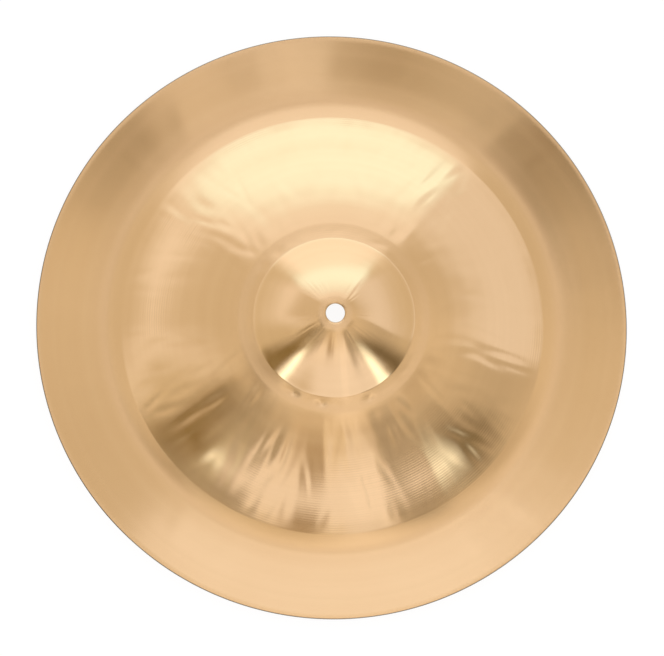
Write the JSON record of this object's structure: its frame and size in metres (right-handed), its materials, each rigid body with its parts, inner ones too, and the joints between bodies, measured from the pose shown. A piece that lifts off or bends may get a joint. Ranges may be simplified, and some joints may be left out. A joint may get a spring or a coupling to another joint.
{
  "type": "china cymbal",
  "caption": "China cymbal: a thin bronze disc with a domed bell, a sloping bow, a sharp crease and an upturned flange, holed at the centre for a stand rod.",
  "frame": {"origin": "on the disc's axis, in the plane of the ring at the flange's foot, just outside the crease, that the cymbal lies on", "axes": "+Z along the disc's axis, out of the top of the bell; the disc is round, so +X and +Y are any two directions square to it"},
  "size_m": [0.4064, 0.4064, 0.0384],
  "materials": {
    "cymbal_bronze": "lathed and hammered bronze, bright satin, with fine concentric lathe grooves"
  },
  "bodies": {
    "root": {"cymbal": "cymbal_bronze"}
  },
  "joints": []
}
